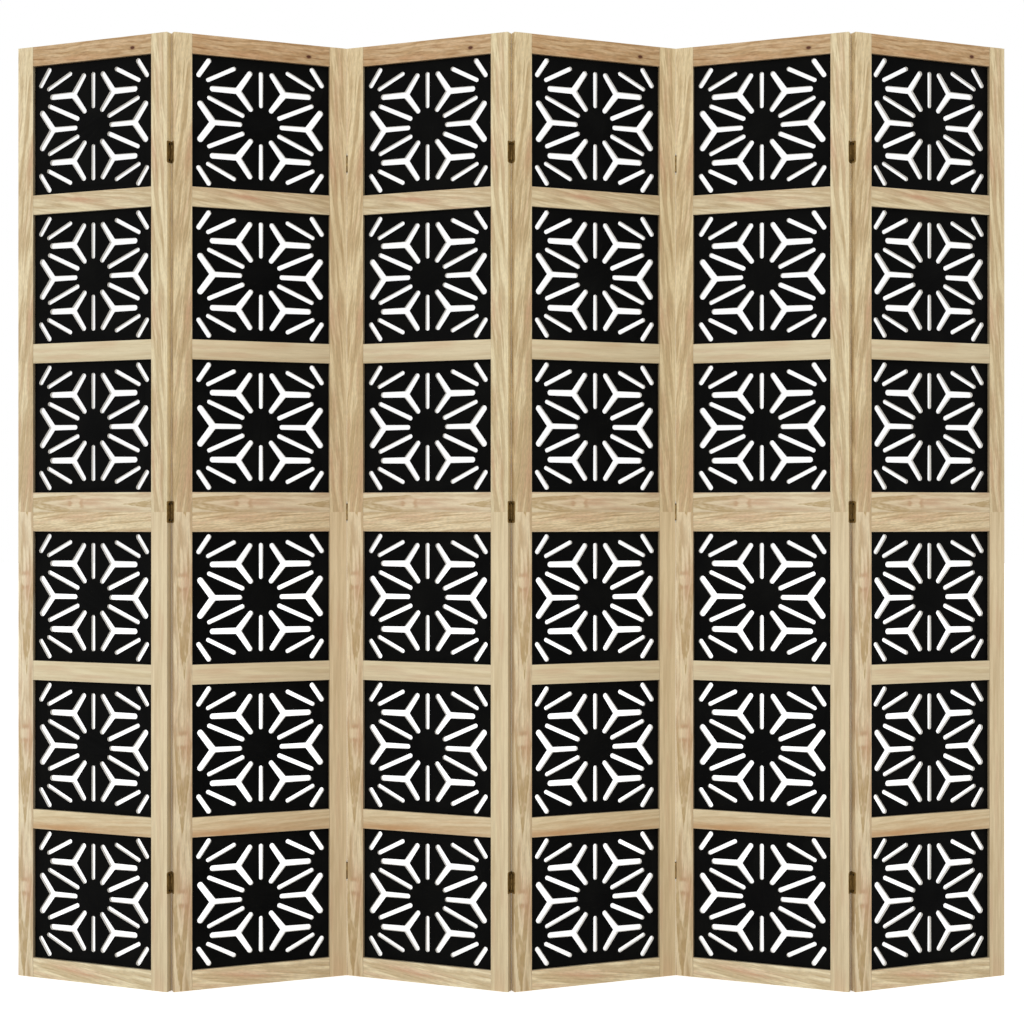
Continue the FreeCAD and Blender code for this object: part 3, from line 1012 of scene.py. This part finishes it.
class Board(Enum):
    """The boards of one leaf that have a figure of their own."""

    LOWER_LEFT_STILE = BoardFinish(
        "lower left stile wood", 3.0, tone=(1.056, 1.082, 1.119), lean=0.012, streak_width=9.0,
        deep_share=0.5, ring_spacing=4.2, heart_across=2.0, heart_depth=26.0, late_wood=0.22,
        flame_tip=137.0, flame_share=0.95, sweep=0.08, blush_along=312.0, blush_across=8.0,
        blush_length=42.0, blush_width=11.0, blush_share=0.6, pale=paint(229, 209, 171),
        tan=paint(196, 168, 129),
    )
    UPPER_LEFT_STILE = BoardFinish(
        "upper left stile wood", 8.0, tone=(1.072, 1.112, 1.144), lean=0.11, streak_length=110.0,
        streak_width=9.5, sweep=0.06, deep_share=0.75, ring_spacing=4.6, heart_across=-34.0,
        heart_depth=26.0, blush_along=-68.0, blush_across=12.0, blush_length=44.0, blush_width=7.0,
        blush_share=0.6, pale=paint(227, 205, 163), tan=paint(197, 170, 128),
    )
    LOWER_RIGHT_STILE = BoardFinish(
        "lower right stile wood", 13.0, tone=(0.981, 0.953, 0.923), lean=0.003, meander=1.5,
        streak_length=130.0, streak_width=5.0, streak_low=0.3, streak_high=0.75, deep_share=0.08,
        ring_spacing=3.4, heart_across=46.0, late_wood=0.12, tint_share=0.22, sap_across=9.5,
        sap_share=0.55, pale=paint(228, 211, 174), tan=paint(210, 190, 153),
    )
    UPPER_RIGHT_STILE = BoardFinish(
        "upper right stile wood", 18.0, tone=(0.98, 0.98, 0.963), lean=-0.085, streak_length=110.0,
        streak_width=8.5, deep_share=0.6, sap_across=9.5, sap_share=0.55, heart_across=30.0,
        heart_depth=24.0, blush_along=-68.0, blush_across=-13.0, blush_length=44.0, blush_width=6.0,
        blush_share=0.6, pale=paint(233, 215, 175), tan=paint(204, 180, 140),
    )
    FOOT_RAIL = BoardFinish(
        "foot rail wood", 23.0, tone=(1.092, 1.136, 1.162), lean=-0.13, streak_width=8.5, deep_share=0.6,
        ring_spacing=5.5, heart_across=22.0, heart_depth=20.0, figure_repeat=600.0, blush_along=-32.0,
        blush_across=1.0, blush_length=52.0, blush_width=6.0, blush_share=0.9, pale=paint(232, 214, 177),
        tan=paint(204, 181, 143),
    )
    LOWER_SECOND_RAIL = BoardFinish(
        "lower second rail wood", 28.0, tone=(1.01, 0.99, 0.97), lean=0.03, streak_length=110.0,
        streak_low=0.3, streak_high=0.7, deep_share=0.25, ring_spacing=6.0, heart_across=-40.0,
        figure_repeat=600.0, sweep=-0.2, blush_along=-60.0, blush_across=-16.0, blush_length=120.0,
        blush_width=11.0, blush_share=0.9, pale=paint(226, 209, 172), tan=paint(208, 184, 145),
        blush=paint(196, 152, 106),
    )
    LOWER_THIRD_RAIL = BoardFinish(
        "lower third rail wood", 33.0, tone=(1.027, 1.031, 1.018), lean=-0.01, meander=2.0,
        streak_length=130.0, streak_width=6.0, streak_low=0.3, streak_high=0.75, deep_share=0.05,
        heart_across=40.0, late_wood=0.12, figure_repeat=600.0, tint_share=0.25, pale=paint(225, 209, 173),
        tan=paint(213, 193, 158),
    )
    LOWER_HEAD_RAIL = BoardFinish(
        "lower head rail wood", 38.0, tone=(1.02, 1.03, 1.03), lean=0.09, streak_length=110.0,
        streak_width=5.0, deep_share=0.9, ring_spacing=6.0, heart_across=-26.0, heart_depth=18.0,
        figure_repeat=600.0, blush_along=-40.0, blush_across=10.0, blush_length=60.0, blush_width=6.0,
        blush_share=0.5, pale=paint(229, 209, 170), tan=paint(206, 182, 143),
    )
    UPPER_FOOT_RAIL = BoardFinish(
        "upper foot rail wood", 43.0, tone=(1.01, 1.03, 1.04), streak_length=70.0, deep_share=0.35,
        ring_spacing=4.6, heart_depth=14.0, late_wood=0.2, flame_tip=80.0, flame_across=-3.0,
        flame_share=0.95, blush_along=-20.0, blush_across=2.0, blush_length=60.0, blush_width=14.0,
        blush_share=0.4, pale=paint(231, 213, 177), tan=paint(208, 184, 149),
    )
    UPPER_SECOND_RAIL = BoardFinish(
        "upper second rail wood", 48.0, tone=(0.988, 0.986, 0.957), lean=-0.01, meander=2.0,
        streak_length=130.0, streak_width=6.0, streak_low=0.3, streak_high=0.75, deep_share=0.04,
        ring_spacing=5.5, heart_across=34.0, late_wood=0.12, figure_repeat=600.0, tint_share=0.25,
        pale=paint(225, 209, 175), tan=paint(213, 194, 158),
    )
    UPPER_THIRD_RAIL = BoardFinish(
        "upper third rail wood", 53.0, tone=(0.97, 0.98, 0.96), lean=-0.14, sweep=0.1, ring_spacing=5.5,
        heart_across=24.0, heart_depth=16.0, figure_repeat=600.0, blush_along=-24.0, blush_across=4.0,
        blush_length=38.0, blush_width=6.5, blush_share=0.95, pale=paint(232, 214, 177),
        tan=paint(207, 183, 147),
    )
    CROWN_RAIL = BoardFinish(
        "crown rail wood", 58.0, tone=(0.956, 0.965, 0.927), lean=-0.01, meander=10.0, streak_length=48.0,
        deep_share=0.85, heart_across=-30.0, heart_depth=20.0, figure_repeat=600.0, blush_along=-30.0,
        blush_across=-12.0, blush_length=60.0, blush_width=5.0, blush_share=0.5, tint_share=0.15,
        knot_along=93.0, knot_across=-4.0, knot_size=4.2, knot_dark=2.0, pale=paint(214, 182, 143),
        tan=paint(194, 158, 116), late=paint(158, 114, 68), blush=paint(208, 156, 116),
        worn=paint(222, 198, 164),
    )


STILE_BOARDS = {
    Side.LEFT: (Board.LOWER_LEFT_STILE, Board.UPPER_LEFT_STILE),
    Side.RIGHT: (Board.LOWER_RIGHT_STILE, Board.UPPER_RIGHT_STILE),
}
RAIL_BOARDS = (
    Board.FOOT_RAIL, Board.LOWER_SECOND_RAIL, Board.LOWER_THIRD_RAIL, Board.LOWER_HEAD_RAIL,
    Board.UPPER_FOOT_RAIL, Board.UPPER_SECOND_RAIL, Board.UPPER_THIRD_RAIL, Board.CROWN_RAIL,
)


@dataclass
class FrameBoards:
    """The stiles and rails of one leaf."""

    leaf: Leaf
    woods: dict[Board, Material]
    arris_width: float = 0.6 * mm
    recess_skin: float = 1.5 * mm
    # Painted shade darkens the edge faces that line the openings and the left and lower right edges beside
    # the next leaf; painted light brightens the upper right ones.
    inner_edge_painted_shade: float = 0.42
    left_edge_tone: float = 0.82
    lower_right_edge_tone: float = 0.86
    upper_right_edge_tone: float = 1.15

    def on_face(self, edge: bmesh.types.BMEdge) -> bool:
        """Says whether an edge lies on the leaf's front or back face, away from a hinge's recess."""
        sizes = self.leaf.sizes
        across = [vertex.co.x for vertex in edge.verts]
        in_recess = max(across) < self.recess_skin or min(across) > sizes.width - self.recess_skin
        on_front = lies_at(edge, 0.0, touching)
        return (on_front or lies_at(edge, sizes.thickness, touching)) and not in_recess

    def edge_tone(self, face: bmesh.types.BMFace) -> float:
        """Says how much a face is darkened with painted shade, or lightened with painted light, against the
        boards' faces.

        Args:
            face: A face of a board.

        Returns:
            One, or the painted shade of an edge that lines an opening, or the painted shade or light of an
            edge beside the next leaf.
        """
        sizes = self.leaf.sizes
        middle = face.calc_center_median()
        level = middle.z % sizes.frame_height
        if abs(face.normal.y) > 0.5 or not mm < level < sizes.frame_height - mm:
            return 1.0
        if middle.x < mm:
            return self.left_edge_tone
        if middle.x > sizes.width - mm:
            upper = middle.z > sizes.frame_height
            return self.upper_right_edge_tone if upper else self.lower_right_edge_tone
        inside = sizes.stile_width - mm < middle.x < sizes.width - sizes.stile_width + mm
        return self.inner_edge_painted_shade if inside else 1.0

    def lay_grain(self, work: Workpiece, upright: bool, kinds: Sequence[Board], leaf_painted_shading: Tone) -> None:
        """Gives every board its own grain, its tone with the painted light and shade, and its material
        index, from the lowest board up.

        Args:
            work: The mesh that holds the boards.
            upright: Whether the boards stand, as stiles do.
            kinds: The boards' kinds, from the lowest up.
            leaf_painted_shading: The painted light and shade on these boards on this leaf.
        """
        boards = sorted(work.solids(), key=lambda solid: min(vertex.co.z for vertex in solid))
        for index, solid in enumerate(boards):
            lows = [min(vertex.co[axis] for vertex in solid) for axis in range(3)]
            highs = [max(vertex.co[axis] for vertex in solid) for axis in range(3)]
            middle = (Vector(lows) + Vector(highs)) / 2
            # The board's own tone times the painted light and shade of its leaf.
            tone = [one * other for one, other in zip(kinds[index].value.tone, leaf_painted_shading)]
            for vertex in solid:
                offset = vertex.co - middle
                vertex[work.grain] = offset.zxy if upright else offset.xzy
                for face in vertex.link_faces:
                    # Each face takes the painted shade or light of its edge.
                    share = self.edge_tone(face)
                    face.material_index = index
                    face[work.tone] = (tone[0] * share, tone[1] * share, tone[2] * share, 1.0)
        log.info("%s: %d boards of %d kinds", self.leaf.body, len(boards), len(kinds))

    def dress(self, parts: str, kinds: Sequence[Board], slot: Slot, leaf_painted_shading: Tone) -> None:
        """Dresses one node's boards.

        Args:
            parts: What the node holds, such as rails. Anything else than rails stands upright.
            kinds: Its boards' kinds, from the lowest up.
            slot: The record's slot; not used.
            leaf_painted_shading: The painted light and shade on these boards on this leaf.
        """
        node = f"{self.leaf.body}_{parts}"
        work = Workpiece(self.leaf.place())
        work.take_node(node, self.leaf.sizes.frame_height)
        work.ease(self.on_face, self.arris_width)
        work.lower_onto(self.leaf.sizes.frame_height)
        self.lay_grain(work, parts != "rails", kinds, leaf_painted_shading)
        work.round_shading()
        name = f"{node[:-1]}_boards"
        work.publish(name, self.leaf.body, [node], [self.woods[kind] for kind in kinds])

    def build(self) -> None:
        """Dresses the leaf's stiles and rails."""
        tones = self.leaf.tones
        self.dress("left_stiles", STILE_BOARDS[Side.LEFT], Slot.STILE_WOOD, tones.left)
        self.dress("right_stiles", STILE_BOARDS[Side.RIGHT], Slot.STILE_WOOD, tones.right)
        self.dress("rails", RAIL_BOARDS, Slot.RAIL_WOOD, tones.rails)


# The carved panels


@dataclass
class CarvedPanels:
    """The three carved panels of one of a leaf's frames."""

    leaf: Leaf
    tier: Tier
    face_paint: Material
    cut_edge: Material
    rim_width: float = 0.35 * mm

    def build(self) -> None:
        """Dresses the panels, with the rims of their slots eased."""
        node = f"{self.leaf.body}_{self.tier.value}_carved_panels"
        work = Workpiece(self.leaf.place())
        work.take_node(node)
        work.ease(lambda edge: True, self.rim_width)
        middle = self.leaf.sizes.thickness / 2
        for vertex in work.mesh.verts:
            vertex[work.grain] = vertex.co.xzy - Vector((0.0, 0.0, middle))
        for face in work.mesh.faces:
            face.smooth = abs(face.normal.y) < level_facing
            face.material_index = 1 if abs(face.normal.y) < wall_facing else 0
        name = f"{self.leaf.body}_{self.tier.value}_lattice"
        work.publish(name, self.leaf.body, [node], [self.face_paint, self.cut_edge])


# The hinges


@dataclass
class HingeJoint:
    """The three hinges between two leaves."""

    number: int
    leaves: Sequence[Leaf]
    plate_bronze: Material
    pin_bronze: Material
    rim_width: float = 0.12 * mm
    heights: tuple[float, ...] = (204 * mm, 900 * mm, 1576 * mm)
    pin_radius: float = 0.6 * mm
    pin_away: tuple[float, float] = (0.05 * mm, 0.1 * mm)
    head_middle: float = 15.5 * mm
    plate_end: float = 20.5 * mm
    beside_pin: float = 1.2 * mm
    upright_rise: float = 1.0 * mm

    def meets_other_plate(self, edge: bmesh.types.BMEdge, pin_face: float) -> bool:
        """Says whether an edge runs up beside the pin, where the two plates meet and stay crisp."""
        first, second = (vertex.co.z for vertex in edge.verts)
        return lies_at(edge, pin_face, self.beside_pin) and abs(first - second) > self.upright_rise

    def add_tips(self, work: Workpiece, leaf: Leaf) -> None:
        """Carries the pins on through their heads to the plates' ends.

        Args:
            work: The mesh that holds the pins.
            leaf: The leaf they are fixed to, at their left.
        """
        across = leaf.sizes.width + self.pin_away[0]
        through = leaf.pin_sides[Side.RIGHT] + self.pin_away[1]
        length = self.plate_end - self.head_middle
        for height in self.heights:
            for way in (-1, 1):
                middle = height + way * (self.head_middle + length / 2)
                bmesh.ops.create_cone(
                    work.mesh, cap_ends=True, segments=24, radius1=self.pin_radius, radius2=self.pin_radius,
                    depth=length, matrix=Matrix.Translation((across, through, middle)),
                )

    def dress(self, node: str, name: str, leaf: Leaf, bronze: Material, tips: bool = False) -> None:
        """Dresses one node of hinge parts.

        Args:
            node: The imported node.
            name: The new piece's name.
            leaf: The leaf it is fixed to.
            bronze: Its material.
            tips: Whether these are pins that go on through their heads.
        """
        work = Workpiece(leaf.place())
        work.take_node(node)
        if tips:
            self.add_tips(work, leaf)
        pin_face = leaf.pin_sides[Side.RIGHT if leaf is self.leaves[0] else Side.LEFT]
        work.ease(lambda edge: not self.meets_other_plate(edge, pin_face), self.rim_width)
        work.round_shading()
        work.publish(name, leaf.body, [node], [bronze])

    def build(self) -> None:
        """Dresses the plates and the pins."""
        left, right = self.leaves
        prefix = f"hinge_{self.number}"
        self.dress(f"{prefix}_left_plates", f"{prefix}_left_flaps", left, self.plate_bronze)
        self.dress(f"{prefix}_right_plates", f"{prefix}_right_flaps", right, self.plate_bronze)
        tips = left.pin_sides[Side.RIGHT] > 0.0
        self.dress(f"{prefix}_pins", f"{prefix}_headed_pins", left, self.pin_bronze, tips)


# The studio


@dataclass
class Studio:
    """The plain white studio: floor, surroundings, light and camera."""

    floor_size: float = 60.0
    camera_across: float = 1.24 * mm
    camera_back: float = 3667.3 * mm
    camera_height: float = 900 * mm
    lens: float = 67.43
    sensor: float = 36.0
    sun_strength: float = 0.88
    sun_azimuth: float = math.radians(-36)
    sun_elevation: float = math.radians(32)
    sun_width: float = math.radians(60)
    ambient: float = 0.77
    floor_grey: float = 0.8
    floor_glow: float = 0.56
    white: Colour = (1.0, 1.0, 1.0, 1.0)

    def seen(self, bench: ShaderBench) -> Socket:
        """Tells rays that the camera sees, straight or through a gloss or glass, from the light's own."""
        path = bench.node("LightPath")
        seen = bench.math("ADD", path.outputs["Is Camera Ray"], path.outputs["Is Glossy Ray"], clamp=True)
        return bench.math("ADD", seen, path.outputs["Is Transmission Ray"], clamp=True)

    def floor(self) -> None:
        """Lays the floor, which stays white for the camera but keeps the screen's shadow."""
        mesh = bpy.data.meshes.new("studio_floor")
        plane = bmesh.new()
        bmesh.ops.create_grid(plane, x_segments=1, y_segments=1, size=self.floor_size / 2)
        plane.to_mesh(mesh)
        plane.free()
        material = bpy.data.materials.new("studio floor")
        bench = ShaderBench.emptied(material)
        diffuse = bench.node("BsdfDiffuse")
        diffuse.inputs["Color"].default_value = (self.floor_grey, self.floor_grey, self.floor_grey, 1.0)
        glow = bench.node("Emission")
        glow.inputs["Color"].default_value = self.white
        bench.feed(glow.inputs["Strength"], bench.math("MULTIPLY", self.seen(bench), self.floor_glow))
        both = bench.node("AddShader")
        bench.feed(both.inputs[0], diffuse.outputs[0])
        bench.feed(both.inputs[1], glow.outputs[0])
        output = bench.node("OutputMaterial")
        bench.feed(output.inputs["Surface"], both.outputs[0])
        mesh.materials.append(material)
        floor = bpy.data.objects.new("studio_floor", mesh)
        bpy.context.scene.collection.objects.link(floor)

    def surroundings(self) -> None:
        """Sets the world: even light, and plain white wherever it is seen."""
        world = bpy.data.worlds.new("studio")
        bpy.context.scene.world = world
        bench = ShaderBench.emptied(world)
        background = bench.node("Background")
        background.inputs["Color"].default_value = self.white
        extra = bench.math("MULTIPLY", self.seen(bench), 1 - self.ambient)
        bench.feed(background.inputs["Strength"], bench.math("ADD", extra, self.ambient))
        output = bench.node("OutputWorld")
        bench.feed(output.inputs["Surface"], background.outputs[0])

    def light(self) -> None:
        """Hangs one broad soft light to the left of the camera."""
        lamp = bpy.data.lights.new("studio_key", "SUN")
        lamp.energy = self.sun_strength
        lamp.angle = self.sun_width
        key = bpy.data.objects.new("studio_key", lamp)
        key.rotation_euler = (math.pi / 2 - self.sun_elevation, 0.0, self.sun_azimuth)
        bpy.context.scene.collection.objects.link(key)

    def camera(self) -> None:
        """Stands the camera level at half the screen's height."""
        data = bpy.data.cameras.new("studio_camera")
        data.lens = self.lens
        data.sensor_width = self.sensor
        camera = bpy.data.objects.new("studio_camera", data)
        camera.location = (self.camera_across, -self.camera_back, self.camera_height)
        camera.rotation_euler = (math.pi / 2, 0.0, 0.0)
        bpy.context.scene.collection.objects.link(camera)
        bpy.context.scene.camera = camera
        bpy.context.scene.view_settings.view_transform = "Standard"

    def build(self) -> None:
        """Sets up the whole studio."""
        self.camera()
        self.floor()
        self.surroundings()
        self.light()


@dataclass
class Screen:
    """The whole screen."""

    leaves: list[Leaf] = field(default_factory=list)

    def build(self) -> None:
        """Builds and dresses every leaf and joint."""
        effects = Effects()
        woods = {board: board.value.material(effects) for board in Board}
        face_paint = BlackFaceFinish().material(effects)
        cut_edge = CutEdgeFinish().material(effects)
        plate_bronze = BronzeFinish("antique bronze plate").material(effects)
        pin_finish = BronzeFinish("antique bronze pin", dark=paint(40, 27, 8), light=paint(74, 53, 20))
        pin_bronze = pin_finish.material(effects)
        screw_finish = BronzeFinish("antique bronze screw", dark=paint(28, 15, 5), light=paint(48, 28, 12))
        screw_bronze = screw_finish.material(effects)
        dowel_wood = DowelFinish("turned dowel wood", 63.0, deep_share=0.3, late_wood=0.4).material(effects)
        self.leaves = [Leaf(number, tones) for number, tones in enumerate(LEAF_PAINTED_SHADING, start=1)]
        for leaf in self.leaves:
            FrameBoards(leaf, woods).build()
            for tier in Tier:
                CarvedPanels(leaf, tier, face_paint, cut_edge).build()
            for node in (f"{leaf.body}_dowels", f"{leaf.body}_hinge_screws"):
                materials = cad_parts[node].data.materials
                materials.clear()
                materials.append(dowel_wood if node.endswith("dowels") else screw_bronze)
        for number, pair in enumerate(zip(self.leaves, self.leaves[1:]), start=1):
            HingeJoint(number, pair, plate_bronze, pin_bronze).build()


def main() -> None:
    """Builds the studio and the screen."""
    logging.basicConfig(level=logging.INFO, format="%(name)s: %(message)s")
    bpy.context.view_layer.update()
    Studio().build()
    Screen().build()


if __name__ == "__main__":
    main()
